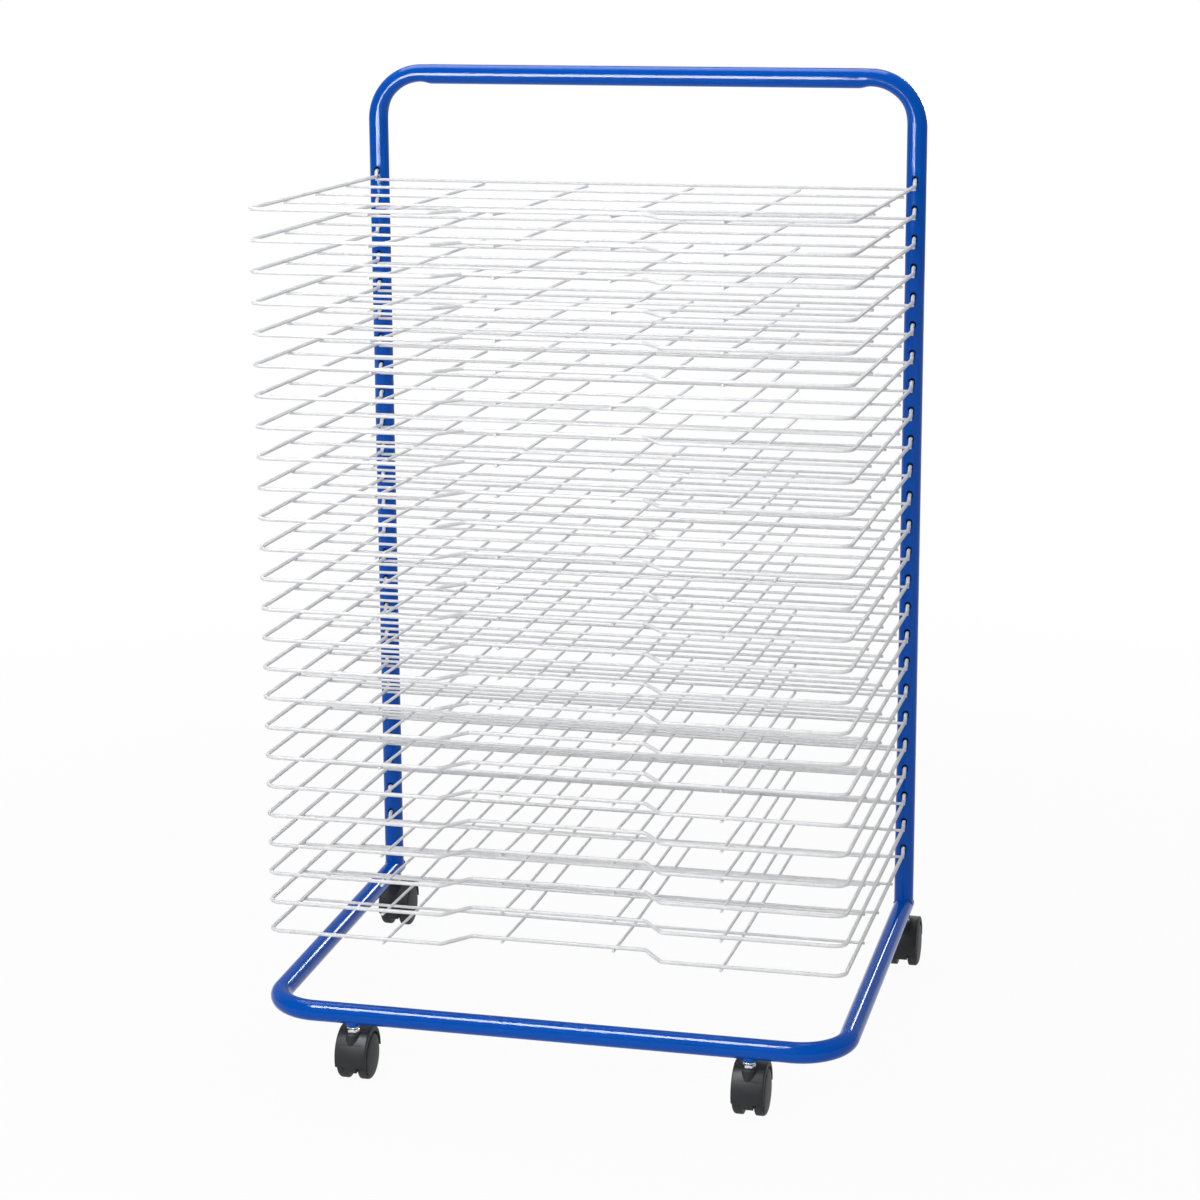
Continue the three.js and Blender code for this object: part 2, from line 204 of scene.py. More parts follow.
# %% The signal class
class Signal:
    """An output socket that can be added, multiplied and fed to further nodes."""

    def __init__(self, tree, socket=None):
        self.tree = tree
        self.socket = socket

    def node(self, kind, settings=None, inputs=None, output=0):
        """A new node: first its settings, then the values or links of its sockets."""
        made = self.tree.nodes.new(kind)
        for name, value in (settings or {}).items():
            setattr(made, name, value)
        for key, value in (inputs or {}).items():
            if isinstance(value, Signal):
                self.tree.links.new(value.socket, made.inputs[key])
            else:
                made.inputs[key].default_value = value
        return Signal(self.tree, made.outputs[output]) if made.outputs else None

    def maths(self, operation, first, second):
        return self.node("ShaderNodeMath", {"operation": operation}, {0: first, 1: second})

    def __add__(self, other):
        return self.maths("ADD", self, other)

    __radd__ = __add__

    def __sub__(self, other):
        return self.maths("SUBTRACT", self, other)

    def __rsub__(self, other):
        return self.maths("SUBTRACT", other, self)

    def __mul__(self, other):
        return self.maths("MULTIPLY", self, other)

    __rmul__ = __mul__

    def between(self, low, high):
        """0 below low, 1 above high, and smooth from one to the other."""
        settings = {"interpolation_type": "SMOOTHSTEP"}
        return self.node("ShaderNodeMapRange", settings, {0: self, 1: low, 2: high})

    def blend(self, first, second):
        """The first colour where this is 0, the second where it is 1."""
        inputs = {0: self, 6: (*first, 1), 7: (*second, 1)}
        return self.node("ShaderNodeMix", {"data_type": "RGBA"}, inputs, output=2)

    def scaled(self, x, y, z):
        """A place stretched along each axis."""
        settings = {"operation": "MULTIPLY"}
        return self.node("ShaderNodeVectorMath", settings, {0: self, 1: (x, y, z)})

    def length(self):
        """How far a place is from the piece's own origin."""
        settings = {"operation": "LENGTH"}
        return self.node("ShaderNodeVectorMath", settings, {0: self}, output="Value")

    def noise(self, size_mm, detail, roughness=0.5):
        """Noise of about that grain over a place."""
        inputs = {"Vector": self, "Scale": 1 / (size_mm * MM), "Detail": detail}
        return self.node("ShaderNodeTexNoise", inputs={**inputs, "Roughness": roughness})

    def bump(self, depth_mm, strength):
        """A bumped normal, with this as the height."""
        inputs = {"Strength": strength, "Distance": depth_mm * MM, "Height": self}
        return self.node("ShaderNodeBump", inputs=inputs)


def new_finish(name):
    """An empty material, and the place on the piece that its pattern is drawn from."""
    material = bpy.data.materials.new(name)
    material.use_nodes = True
    material.node_tree.nodes.clear()
    place_on_piece = Signal(material.node_tree).node("ShaderNodeTexCoord", output="Object")
    return material, place_on_piece


def surface(material, **inputs):
    """Ends a finish with one Principled shader; underscores in a name stand for spaces."""
    sockets = {name.replace("_", " "): value for name, value in inputs.items()}
    tree = Signal(material.node_tree)
    shader = tree.node("ShaderNodeBsdfPrincipled", inputs=sockets)
    tree.node("ShaderNodeOutputMaterial", inputs={"Surface": shader})
    return material


# %% [markdown]
# ## Blue powder coat
# The tubes are sprayed with powder and baked, which leaves a thick, glossy skin with a
# faint orange peel. A plain glossy blue would look like plastic wrap. Three noises give it
# life: one bumps the skin, a broad one shifts the colour and gloss a little, and a very
# fine one leaves pale, duller specks.

# %% Blue coat of the tubes
DEEP_BLUE = (0.0008, 0.074, 0.42)
LIGHT_BLUE = (0.0012, 0.092, 0.50)


def blue_coat():
    material, here = new_finish("blue_powder_coat")
    peel = here.noise(5.0, detail=1.0)
    drift = here.noise(90, detail=3.0)
    specks = here.noise(0.5, detail=1.0).between(0.68, 0.8)
    return surface(
        material,
        Base_Color=(drift * 0.8 + specks * 0.4).blend(DEEP_BLUE, LIGHT_BLUE),
        Roughness=0.08 + drift * 0.05 + specks * 0.08,
        IOR=1.5,
        Specular_IOR_Level=0.13,
        Normal=peel.bump(0.003, 0.2),
    )


BLUE_COAT = blue_coat()
print("finish:", BLUE_COAT.name)

# %% [markdown]
# ## White coat of the wires
# The shelves are dipped or sprayed after welding, so the coat is thicker and duller than
# bare wire, with tiny runs. It is almost white; what makes a wire visible against a white
# wall is the shade on its underside, so the colour stays a step below white.

# %% White coat of the shelves
DULL_WHITE = (0.70, 0.70, 0.72)
CLEAN_WHITE = (0.79, 0.79, 0.80)


def white_coat():
    material, here = new_finish("white_wire_coat")
    runs = here.noise(6.0, detail=3.0)
    grain = here.noise(0.7, detail=2.0)
    return surface(
        material,
        Base_Color=runs.between(0.25, 0.8).blend(DULL_WHITE, CLEAN_WHITE),
        Roughness=0.36 + grain * 0.16,
        Specular_IOR_Level=0.1,
        Normal=(grain + runs * 0.6).bump(0.04, 0.5),
    )


WHITE_COAT = white_coat()
print("finish:", WHITE_COAT.name)

# %% [markdown]
# ## Black plastics
# Hood and wheels are both black, but not the same black. The hood is moulded in nylon
# with a fine spark-eroded grain. The wheel is smoother, carries faint turning rings from
# its mould, and has its tread dulled by dust from the floor.

# %% Plastic of the hoods and caps
HOOD_BLACK = (0.020, 0.021, 0.024)
HOOD_GREY = (0.034, 0.035, 0.040)


def hood_plastic():
    material, here = new_finish("black_hood_plastic")
    grain = here.noise(0.45, detail=2.0)
    flow = here.noise(12, detail=2.0)
    return surface(
        material,
        Base_Color=flow.blend(HOOD_BLACK, HOOD_GREY),
        Roughness=0.50 + flow * 0.12,
        Specular_IOR_Level=0.2,
        Normal=grain.bump(0.03, 0.6),
    )


HOOD_PLASTIC = hood_plastic()
print("finish:", HOOD_PLASTIC.name)

# %% Plastic of the wheels
WHEEL_BLACK = (0.022, 0.023, 0.026)
DUST_GREY = (0.085, 0.082, 0.080)
RING_PITCH = 0.9
DUST_FROM = 1.2
DUST_FULL = 0.1


def wheel_plastic(tread_radius):
    """Black with rings about the axle, and dusty where a point is nearly at the tread."""
    material, here = new_finish("black_wheel_plastic")
    radius = here.scaled(0, 1, 1).length()
    rings = here.maths("SINE", radius * (2 * math.pi / (RING_PITCH * MM)), 0.0)
    rim = radius.between((tread_radius - DUST_FROM) * MM, (tread_radius - DUST_FULL) * MM)
    scuffs = here.noise(2.2, detail=4.0, roughness=0.65).between(0.48, 0.7)
    dust = rim * (0.35 + scuffs * 0.65)
    return surface(
        material,
        Base_Color=dust.blend(WHEEL_BLACK, DUST_GREY),
        Roughness=0.46 + dust * 0.25 + scuffs * 0.06,
        Specular_IOR_Level=0.1,
        Normal=(rings * 0.5 + scuffs * 0.5).bump(0.02, 0.4),
    )


# %% [markdown]
# ## Plated steel
# Nuts and stems are zinc plated: bright and cool, with fine drawn lines and a slightly
# cloudy gloss. A full mirror would only show the room, so the roughness drifts.

# %% Plated steel
DULL_ZINC = (0.62, 0.63, 0.65)
BRIGHT_ZINC = (0.82, 0.83, 0.84)
LINE_STRETCH = 14


def plated_steel():
    material, here = new_finish("plated_steel")
    lines = here.scaled(1, 1, LINE_STRETCH).noise(2.0, detail=3.0)
    cloud = here.noise(3.0, detail=3.0)
    return surface(
        material,
        Base_Color=cloud.blend(DULL_ZINC, BRIGHT_ZINC),
        Metallic=1.0,
        Roughness=0.16 + cloud * 0.12,
        Normal=lines.bump(0.01, 0.4),
    )


PLATED_STEEL = plated_steel()
print("finish:", PLATED_STEEL.name)

# %% [markdown]
# ## Tubes bent into a U
# Upright and base are each one round tube with two bends. A curve with a bevel would give
# a perfect round bend, but a tube bent on a former flattens on the inside of the bend, and
# the photograph shows that little step. So the tube is a skin of rings along a path, and
# each ring knows how far it is squeezed.

# %% The path of a bent tube
BEND_R = 52
BEND_STEPS = 26
BAR_RAMP = 13
BAR_RAMP_STEPS = 6
LEG_RAMP = 0.45
END_TRIM = 0.4


def smooth(share):
    """A share from 0 to 1, eased at both ends."""
    return share * share * (3 - 2 * share)


def u_path(start, corner, rows=(), squeeze=1.0):
    """Stations of a U from end to end: centre, heading and how far the tube is squeezed."""
    into = (corner - start).normalized()
    out = Vector((1, 0, 0))
    leg = (corner - start).length - BEND_R
    half = [(start + into * along, into, 0.0) for along in (0, END_TRIM, *rows, leg)]
    for step in range(1, BEND_STEPS + 1):
        turn = math.pi / 2 * step / BEND_STEPS
        centre = start + into * (leg + BEND_R * math.sin(turn))
        centre += out * BEND_R * (1 - math.cos(turn))
        flat = smooth(min(1, step / BEND_STEPS / LEG_RAMP)) * squeeze
        half.append((centre, into * math.cos(turn) + out * math.sin(turn), flat))
    for step in range(1, BAR_RAMP_STEPS + 1):
        share = step / BAR_RAMP_STEPS
        flat = smooth(1 - share) * squeeze
        half.append((corner + out * (BEND_R + BAR_RAMP * share), out, flat))
    other = [
        (Vector((-centre.x, centre.y, centre.z)), Vector((head.x, -head.y, -head.z)), flat)
        for centre, head, flat in reversed(half)
    ]
    return half + other


# %% A ring of a tube
COLUMNS = 40
SQUEEZE_INSIDE = 0.19
SQUEEZE_OUTSIDE = 0.02
SPREAD = 0.03


def tube_ring(station, across, radius):
    """A ring round a station, flatter on the inside of a bend."""
    centre, head, squeeze = station
    inside = head.cross(across)
    ring = []
    for column in range(COLUMNS):
        turn = 2 * math.pi * column / COLUMNS
        side = math.sin(turn)
        loss = SQUEEZE_INSIDE if side > 0 else SQUEEZE_OUTSIDE
        wide = radius * math.cos(turn) * (1 + SPREAD * squeeze)
        ring.append(centre + across * wide + inside * radius * side * (1 - loss * squeeze))
    return ring


# %% The outline of a punched hole
HOLE_ROWS = [-7, -3.5, 0, 3.5, 7]
HOLE_COLUMNS = 3
HOLE_HALF_WIDTH = 3.6
HOLE_HALF_HEIGHT = 4.6


def patch_rim():
    """The rim of the patch of faces that a hole takes the place of, as rows and columns."""
    top = len(HOLE_ROWS) - 1
    columns = range(-HOLE_COLUMNS, HOLE_COLUMNS + 1)
    rim = [(0, column) for column in columns]
    rim += [(i, HOLE_COLUMNS) for i in range(1, top)]
    rim += [(top, column) for column in reversed(columns)]
    return rim + [(i, -HOLE_COLUMNS) for i in range(top - 1, 0, -1)]


PATCH_RIM = patch_rim()


def hole_oval(station, across, grow, radius):
    """A hole's outline on a wall of that radius, with one point for each on the patch's rim."""
    centre, head, _ = station
    inside = head.cross(across)
    widest = math.sin(2 * math.pi * HOLE_COLUMNS / COLUMNS)
    oval = []
    for i, column in PATCH_RIM:
        u = math.sin(2 * math.pi * column / COLUMNS) / widest
        turn = math.atan2(HOLE_ROWS[i] / HOLE_ROWS[-1], u)
        u = (HOLE_HALF_WIDTH + grow) * math.cos(turn)
        v = (HOLE_HALF_HEIGHT + grow) * math.sin(turn)
        depth = math.sqrt(radius * radius - u * u)
        oval.append(centre + inside * u + head * v + across * depth)
    return oval


# %% The two walls of a tube
TUBE_WALL = 1.5
HOLE_CHAMFER = 0.35


def tube(stations, across, hole_rows=()):
    """A tube along its stations; each hole starts at a row and faces across."""
    bore = TUBE_R - TUBE_WALL
    last = len(stations) - 1
    points = []
    for row, station in enumerate(stations):
        trim = END_TRIM if row in (0, last) else 0
        points += tube_ring(station, across, TUBE_R - trim)
    for station in stations:
        points += tube_ring(station, across, bore)

    def outer(row, column):
        return row * COLUMNS + column % COLUMNS

    def inner(row, column):
        return (last + 1 + row) * COLUMNS + column % COLUMNS

    punched = {
        (first + i, column % COLUMNS)
        for first in hole_rows
        for i in range(len(HOLE_ROWS) - 1)
        for column in range(-HOLE_COLUMNS, HOLE_COLUMNS)
    }
    faces = []
    for row in range(last):
        for column in range(COLUMNS):
            if (row, column) in punched:
                continue
            for wall in (outer, inner):
                faces.append((wall(row, column), wall(row, column + 1),
                              wall(row + 1, column + 1), wall(row + 1, column)))
    for row in (0, last):
        ends = [[wall(row, column) for column in range(COLUMNS)] for wall in (outer, inner)]
        faces += band(*ends)

    for first in hole_rows:
        station = stations[first + len(HOLE_ROWS) // 2]
        loops = [[outer(first + i, column) for i, column in PATCH_RIM]]
        for grow, radius in ((HOLE_CHAMFER, TUBE_R), (0, TUBE_R - HOLE_CHAMFER), (0, bore)):
            start = len(points)
            points += hole_oval(station, across, grow, radius)
            loops.append(range(start, len(points)))
        loops.append([inner(first + i, column) for i, column in PATCH_RIM])
        for near, far in zip(loops, loops[1:]):
            faces += band(near, far)
    return points, faces


# %% The upright, with a column of holes in each post
HOLE_RISE = 3.2
FOOT_ROWS = 2
FOOT_HEIGHT = 1
hole_heights = sorted(hinge.z + HOLE_RISE for hinge in HINGES.values())
post_rows = [height - POST_FOOT + row for height in hole_heights for row in HOLE_ROWS]
post_foot = Vector((-POST_X, POST_Y, POST_FOOT))
upright_path = u_path(post_foot, Vector((-POST_X, POST_Y, TOP_Z)), post_rows)
left_holes = [FOOT_ROWS + len(HOLE_ROWS) * k for k in range(len(hole_heights))]
right_holes = [len(upright_path) - len(HOLE_ROWS) - first for first in left_holes]
upright = tube(upright_path, Vector((0, -1, 0)), left_holes + right_holes)

# Each foot is coped, which means cut to the curve of the rail under it.
for point in upright[0]:
    if point.z < POST_FOOT + FOOT_HEIGHT:
        off = min(abs(abs(point.x) - POST_X), TUBE_R)
        point.z += math.sqrt(TUBE_R ** 2 - off ** 2) - TUBE_R
upright_mesh = make_mesh("upright_tube", upright, BLUE_COAT)
place("upright_tube", upright_mesh, "frame", "upright_frame")
print("upright:", len(upright_path), "rings,", 2 * len(hole_heights), "holes")

# %% [markdown]
# ## The base and its bosses
# The base lies flat and opens to the rear. Under it, a short boss is welded above each
# caster, saddled to the tube, with a small bead of weld. The boss is a stack of rings whose
# top ring climbs round the tube, which costs less than cutting one solid from another.

# %% The base tube
BASE_SQUEEZE = 0.35
rail_end = Vector((-POST_X, RAIL_END, RAIL_Z))
base_path = u_path(rail_end, Vector((-POST_X, FRONT_Y, RAIL_Z)), squeeze=BASE_SQUEEZE)
base_mesh = make_mesh("base_tube", tube(base_path, Vector((0, 0, -1))), BLUE_COAT)
place("base_tube", base_mesh, "frame", "base_frame")
print("base:", len(base_path), "rings")

# %% The bosses
BOSS_R = 7
BORE_R = 4.3
BOSS_CHAMFER = 0.5
BOSS_FOOT = [(BORE_R, 0), (BOSS_R - BOSS_CHAMFER, 0), (BOSS_R, BOSS_CHAMFER)]
BOSS_SINK = 0.6
BOSS_SIDES = 40
BEAD = 1.7
BEAD_HEIGHT = 2.2
BEAD_FLOOR = 0.8
BEAD_CURVE = [(0, -BEAD_HEIGHT), (0.25 * BEAD, -0.45 * BEAD_HEIGHT), (BEAD, BOSS_SINK)]


def saddle(radius, tube_along):
    """A ring that climbs round the underside of a tube."""
    ring = circle(radius, BOSS_SIDES)
    for point in ring:
        off = point.y if tube_along == "x" else point.x
        point.z = RAIL_Z - math.sqrt(TUBE_R ** 2 - off ** 2)
    return ring


def boss(tube_along):
    """A boss drawn about its own axis under a tube that runs along X or Y."""
    rings = [circle(radius, BOSS_SIDES, BOSS_Z + rise) for radius, rise in BOSS_FOOT]
    for flare, lift in BEAD_CURVE:
        ring = saddle(BOSS_R + flare, tube_along)
        for point in ring:
            point.z = max(point.z + lift, BOSS_Z + BEAD_FLOOR)
        rings.append(ring)
    top = saddle(BORE_R, tube_along)
    for point in top:
        point.z += BOSS_SINK
    return skin(rings + [top], closed=True)


for tube_along, row in (("x", "front"), ("y", "rear")):
    boss_mesh = make_mesh(f"{row}_boss", boss(tube_along), BLUE_COAT, crease=50)
    for side in ("left", "right"):
        stem = STEMS[f"{row}_{side}"]
        place(f"boss_{row}_{side}", boss_mesh, "frame", at=(stem.x, stem.y, 0))
print("bosses:", len(STEMS))

# %% [markdown]
# ## Wires
# A shelf is welded from bent wires. A curve object with a round bevel is the quick way,
# but its ends stay open, so here a ring of points is carried along the path without
# twisting, and each end is closed with a small round, as a coated cut end is.

# %% Paths and rings of a wire
WIRE_SIDES = 14
ARC_STEPS = 6
END_ROUND = [(0.0, 0.55), (0.12, 0.82), (0.3, 0.95), (0.55, 1.0)]


def bent(corners, radii):
    """A path through corners, each inner one turned as an arc of its own radius."""
    path = [corners[0]]
    for before, corner, after, radius in zip(corners, corners[1:], corners[2:], radii):
        into = (corner - before).normalized()
        out = (after - corner).normalized()
        turn = into.angle(out)
        start = corner - into * radius * math.tan(turn / 2)
        towards = (out - into * out.dot(into)).normalized()
        for step in range(ARC_STEPS + 1):
            angle = turn * step / ARC_STEPS
            along = into * radius * math.sin(angle)
            path.append(start + along + towards * radius * (1 - math.cos(angle)))
    return path + [corners[-1]]


def wire(path, diameter):
    """A round wire along a path, with its two ends rounded off."""
    radius = diameter / 2
    heads = [(b - a).normalized() for a, b in zip(path, path[1:])]
    stations = []
    for share, width in END_ROUND:
        stations.append((path[0] + heads[0] * share * radius, heads[0], width))
    for before, point, after in zip(heads, path[1:], heads[1:]):
        stations.append((point, (before + after).normalized(), 1.0))
    for share, width in reversed(END_ROUND):
        stations.append((path[-1] - heads[-1] * share * radius, heads[-1], width))
    side = heads[0].orthogonal().normalized()
    rings = []
    last_head = heads[0]
    for centre, head, width in stations:
        side = last_head.rotation_difference(head) @ side
        across = head.cross(side)
        last_head = head
        ring = circle(radius * width, WIRE_SIDES)
        rings.append([centre + side * point.x + across * point.y for point in ring])
    return skin(rings)


# %% A bead of weld where each post meets its rail
WELD_WIRE = 2.2
WELD_STEPS = 24
WELD_SPAN = (14, 166)


def weld_bead(sign):
    """A bead along one side of the saddle, in front of the post or behind it."""
    first, last = WELD_SPAN
    path = []
    for i in range(WELD_STEPS + 1):
        turn = math.radians(first + (last - first) * i / WELD_STEPS)
        rise = TUBE_R * math.sin(turn)
        path.append(Vector((TUBE_R * math.cos(turn), sign * rise, RAIL_Z + rise)))
    return wire(path, WELD_WIRE)


weld_mesh = make_mesh("post_weld", joined(weld_bead(-1), weld_bead(1)), BLUE_COAT)
for side, sign in (("left", -1), ("right", 1)):
    place("post_weld_" + side, weld_mesh, "frame", at=(sign * POST_X, POST_Y, 0))
print("weld points:", len(weld_mesh.vertices))

# %% [markdown]
# ## The shelf
# One heavy wire runs round three sides, hooks up and over into a hole of each post, and
# steps back at the front for the fingers. Four cross wires are welded under its sides and
# four more run front to back under those. All the shelves are alike, so one mesh is drawn
# about the hinge and shared by all of them, and each leans up a little at the front until
# its rear wire rests against the posts.

# %% The edge wire, drawn about the hinge
EDGE_WIRE = 4.1
HOOK_R = 3.2
HOOK_TUCK = 50
HOOK_TURNS = 10
HOOK_BEND = 3.4
SIDE_DROP = 3.4
SHELF_FRONT = -439.75
SHELF_CORNER = 13
RECESS_DEPTH = 33
RECESS_MOUTH = 117.5
RECESS_FLOOR = 93.5
RECESS_BEND = 7


def edge_half(sign):
    """One side of the edge wire: points round its hook, then corners and bends to the recess."""
    x = sign * POST_X
    hook = []
    for i in range(HOOK_TURNS + 1):
        angle = math.radians(HOOK_TUCK - (HOOK_TUCK + 90) * i / HOOK_TURNS)
        hook.append(Vector((x, HOOK_R * math.sin(angle), HOOK_R * math.cos(angle))))
    corners = [
        (Vector((x, -HOOK_R, -SIDE_DROP)), HOOK_BEND),
        (Vector((x, SHELF_FRONT, -SIDE_DROP)), SHELF_CORNER),
        (Vector((sign * RECESS_MOUTH, SHELF_FRONT, -SIDE_DROP)), RECESS_BEND),
        (Vector((sign * RECESS_FLOOR, SHELF_FRONT + RECESS_DEPTH, -SIDE_DROP)), RECESS_BEND),
    ]
    return hook, corners


def edge_wire():
    """The heavy wire from hook to hook."""
    left_hook, left = edge_half(-1)
    right_hook, right = edge_half(1)
    turns = left + right[::-1]
    corners = [left_hook[-1]] + [point for point, _ in turns] + [right_hook[-1]]
    edge = bent(corners, [radius for _, radius in turns])
    return wire(left_hook[:-1] + edge + right_hook[-2::-1], EDGE_WIRE)


# %% The grid under the edge wire
GRID_WIRE = 3.1
STOP_WIRE = 3.2
STOP_HALF = 309.4
STOP_Y = -2.3
CROSS_HALF = 310.8
CROSS_PITCH = 105.6
CROSS_Y = [STOP_Y - CROSS_PITCH * i for i in range(4)]
CROSS_Z = -6.75
RUN_PITCH = 120.5
RUN_X = [RUN_PITCH * i for i in (-1.5, -0.5, 0.5, 1.5)]
RUN_Z = -9.75
RUN_RISE = 5.6
RUN_BEND = 30
RUN_PAST = 3.8


def shelf():
    """A whole shelf: the edge wire, the cross wires and the wires that run front to back."""
    wires = [edge_wire()]
    for i, y in enumerate(CROSS_Y):
        half = STOP_HALF if i == 0 else CROSS_HALF
        ends = [Vector((sign * half, y, CROSS_Z)) for sign in (-1, 1)]
        wires.append(wire(ends, STOP_WIRE if i == 0 else GRID_WIRE))
    for x in RUN_X:
        front = SHELF_FRONT + (RECESS_DEPTH if abs(x) < RECESS_FLOOR else 0)
        corners = [
            Vector((x, CROSS_Y[0] + STOP_WIRE / 2, RUN_Z)),
            Vector((x, CROSS_Y[-1] - RUN_RISE, RUN_Z)),
            Vector((x, front - RUN_PAST, CROSS_Z)),
        ]
        wires.append(wire(bent(corners, [RUN_BEND]), GRID_WIRE))
    return joined(*wires)


# %% Hang the shelves
SHELF_TILT = math.radians(2)
shelf_mesh = make_mesh("wire_shelf", shelf(), WHITE_COAT, crease=60)
for body, hinge in HINGES.items():
    place("wire_" + body, shelf_mesh, body, body, hinge, (-SHELF_TILT, 0, 0))
print("shelves:", len(HINGES), "points in each:", len(shelf_mesh.vertices))

# %% [markdown]
# ## Casters
# Each caster is a black hood with a wheel on either side of its web. The hood is a drum
# that stands a little higher than the wheels, with an oval neck for the stem and a well cut
# for each wheel. Those are easy shapes that meet in awkward curves, so they are drawn apart,
# fused and trimmed as solids, and their edges are rounded afterwards. The sides end in a
# skirt over the wheels, cut higher at the rear so that no thin fin of the drum is left.

# %% Working one solid with another
SHARP = math.radians(40)
ROUNDING_STEPS = 2


def carved(blank, *cuts, rounding=0.0):
    """A blank joined, cut or kept by other shapes in turn, with its sharp edges rounded."""
    work = add("blank", faced_mesh("blank", *blank))
    tools = [add("blank", faced_mesh("blank", *shape)) for _, shape in cuts]
    for (operation, _), tool in zip(cuts, tools):
        step = work.modifiers.new(operation, "BOOLEAN")
        step.operation = operation
        step.solver = "EXACT"
        step.object = tool
    if rounding:
        edges = work.modifiers.new("rounding", "BEVEL")
        edges.width = rounding
        edges.segments = ROUNDING_STEPS
        edges.angle_limit = SHARP
    graph = bpy.context.evaluated_depsgraph_get()
    result = bpy.data.meshes.new_from_object(work.evaluated_get(graph))
    shape = (
        [vertex.co.copy() for vertex in result.vertices],
        [tuple(face.vertices) for face in result.polygons],
    )
    for part in [work, *tools]:
        bpy.data.objects.remove(part)
    return shape


# %% The drum and the neck of a hood
WHEEL_R = 25
TRAIL = 14
HOOD_R = 29.7
HOOD_RISE = 3.6
HOOD_HALF = 17.2
HOOD_EDGE = 2.0
HOOD_CURVE = [(0, 1), (0.3, 0.3), (1, 0)]
HOOD_SIDES = 72
NECK_HALF_WIDTH = 7.7
NECK_HALF_DEPTH = 11.4
NECK_ROOT = WHEEL_R + 8
NECK_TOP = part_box("caster_hood_front_left")[1].z / MM
NECK_EDGE = 1.4
NECK_CROWN = [(0, 0), (0.13, 0.5), (0.5, 0.87), (1, 1)]
NECK_SIDES = 56
ALONG_X = Matrix.Rotation(math.pi / 2, 4, "Y")
AXLE_AT = Matrix.Translation((0, TRAIL, WHEEL_R))
DRUM_AT = Matrix.Translation((0, 0, HOOD_RISE)) @ AXLE_AT @ ALONG_X


def hood_drum():
    """A drum across the caster, with a rounded edge at each side."""
    edge = [(HOOD_R - loss * HOOD_EDGE, inset * HOOD_EDGE) for loss, inset in HOOD_CURVE]
    drum = [(radius, inset - HOOD_HALF) for radius, inset in reversed(edge)]
    drum += [(radius, HOOD_HALF - inset) for radius, inset in edge]
    return moved(turned(drum, HOOD_SIDES), DRUM_AT)


def hood_neck():
    """An oval neck round the stem, with a rounded crown."""
    rings = [circle(1, NECK_SIDES, NECK_ROOT)]
    for inset, rise in NECK_CROWN:
        width = 1 - inset * NECK_EDGE / NECK_HALF_WIDTH
        rings.append(circle(width, NECK_SIDES, NECK_TOP - NECK_EDGE * (1 - rise)))
    return moved(skin(rings), Matrix.Diagonal((NECK_HALF_WIDTH, NECK_HALF_DEPTH, 1, 1)))


# %% The hood
FAR = 90
HOOD_LEAN = 2.8
LEAN_R = HOOD_R + 0.2
WEB_HALF = 6.1
WELL_R = 26.6
SEAT_R = 8.4
HOOD_LIP = 14
SKIRT_FROM = WEB_HALF + 0.4
HOOD_SKIRT = 20.5
REAR_SKIRT = 27.5
REAR_FROM = TRAIL + WHEEL_R - 5
BORE_DEPTH = 20
BORE_PAST = 5
BORE_SIDES = 32
HOOD_ROUNDING = 0.35


def hood():
    """The drum kept where a leaning one overlaps it, with the neck added and the rest cut away."""
    leaning = turned([(LEAN_R, -FAR), (LEAN_R, FAR)], HOOD_SIDES)
    wells = [turned([(WELL_R, sign * WEB_HALF), (WELL_R, sign * FAR)], HOOD_SIDES) for sign in (-1, 1)]
    skirts = [
        block((sign * SKIRT_FROM, start, -FAR), (sign * FAR, FAR, height))
        for sign in (-1, 1)
        for start, height in ((-FAR, HOOD_SKIRT), (REAR_FROM, REAR_SKIRT))
    ]
    cut_away = [
        *[moved(well, AXLE_AT @ ALONG_X) for well in wells],
        turned([(SEAT_R, NECK_TOP), (SEAT_R, FAR)]),
        block((-FAR, -FAR, -FAR), (FAR, FAR, HOOD_LIP)),
        *skirts,
        turned([(BORE_R, NECK_TOP - BORE_DEPTH), (BORE_R, NECK_TOP + BORE_PAST)], BORE_SIDES),
    ]
    return carved(
        hood_drum(),
        ("INTERSECT", moved(leaning, Matrix.Translation((0, -HOOD_LEAN, 0)) @ DRUM_AT)),
        ("UNION", hood_neck()),
        *[("DIFFERENCE", shape) for shape in cut_away],
        rounding=HOOD_ROUNDING,
    )


hood_mesh = make_mesh("caster_hood", hood(), HOOD_PLASTIC, crease=32)
print("hood faces:", len(hood_mesh.polygons))

# %% [markdown]
# ## Wheels, nuts, stems and caps
# These are turned parts, so each is one profile spun about an axis. The wheel has a low
# dome on its face and a broad rounded shoulder that catches the light. The nut is a
# six-sided bar kept only where a coned blank overlaps it, which is how real nuts get
# their curved corner chamfers, with a narrow waist and a washer above. Stems, axles and the
# plugs in the posts hardly show, so their solids stay and only get the plated finish.

# %% The wheel
TINY = 0.05
WHEEL_IN = 6.4
WHEEL_OUT = 17.7
WHEEL_DOME = 0.8
WHEEL_SIDES = 72
SHOULDER_WIDTH = 3.8
SHOULDER_DEPTH = 5.4
SHOULDER_STEP = 0.15
SHOULDER_TURNS = 8
FACE_R = WHEEL_R - SHOULDER_DEPTH - 0.7
FACE_SHARES = (TINY, 0.2, 0.4, 0.6, 0.8, 1.0)
INNER_EDGE = [(0, 1.2), (0.3, 0.4), (1.2, 0)]
AXLE_BORE_R = 3.3
AXLE_DEPTH = 14.1


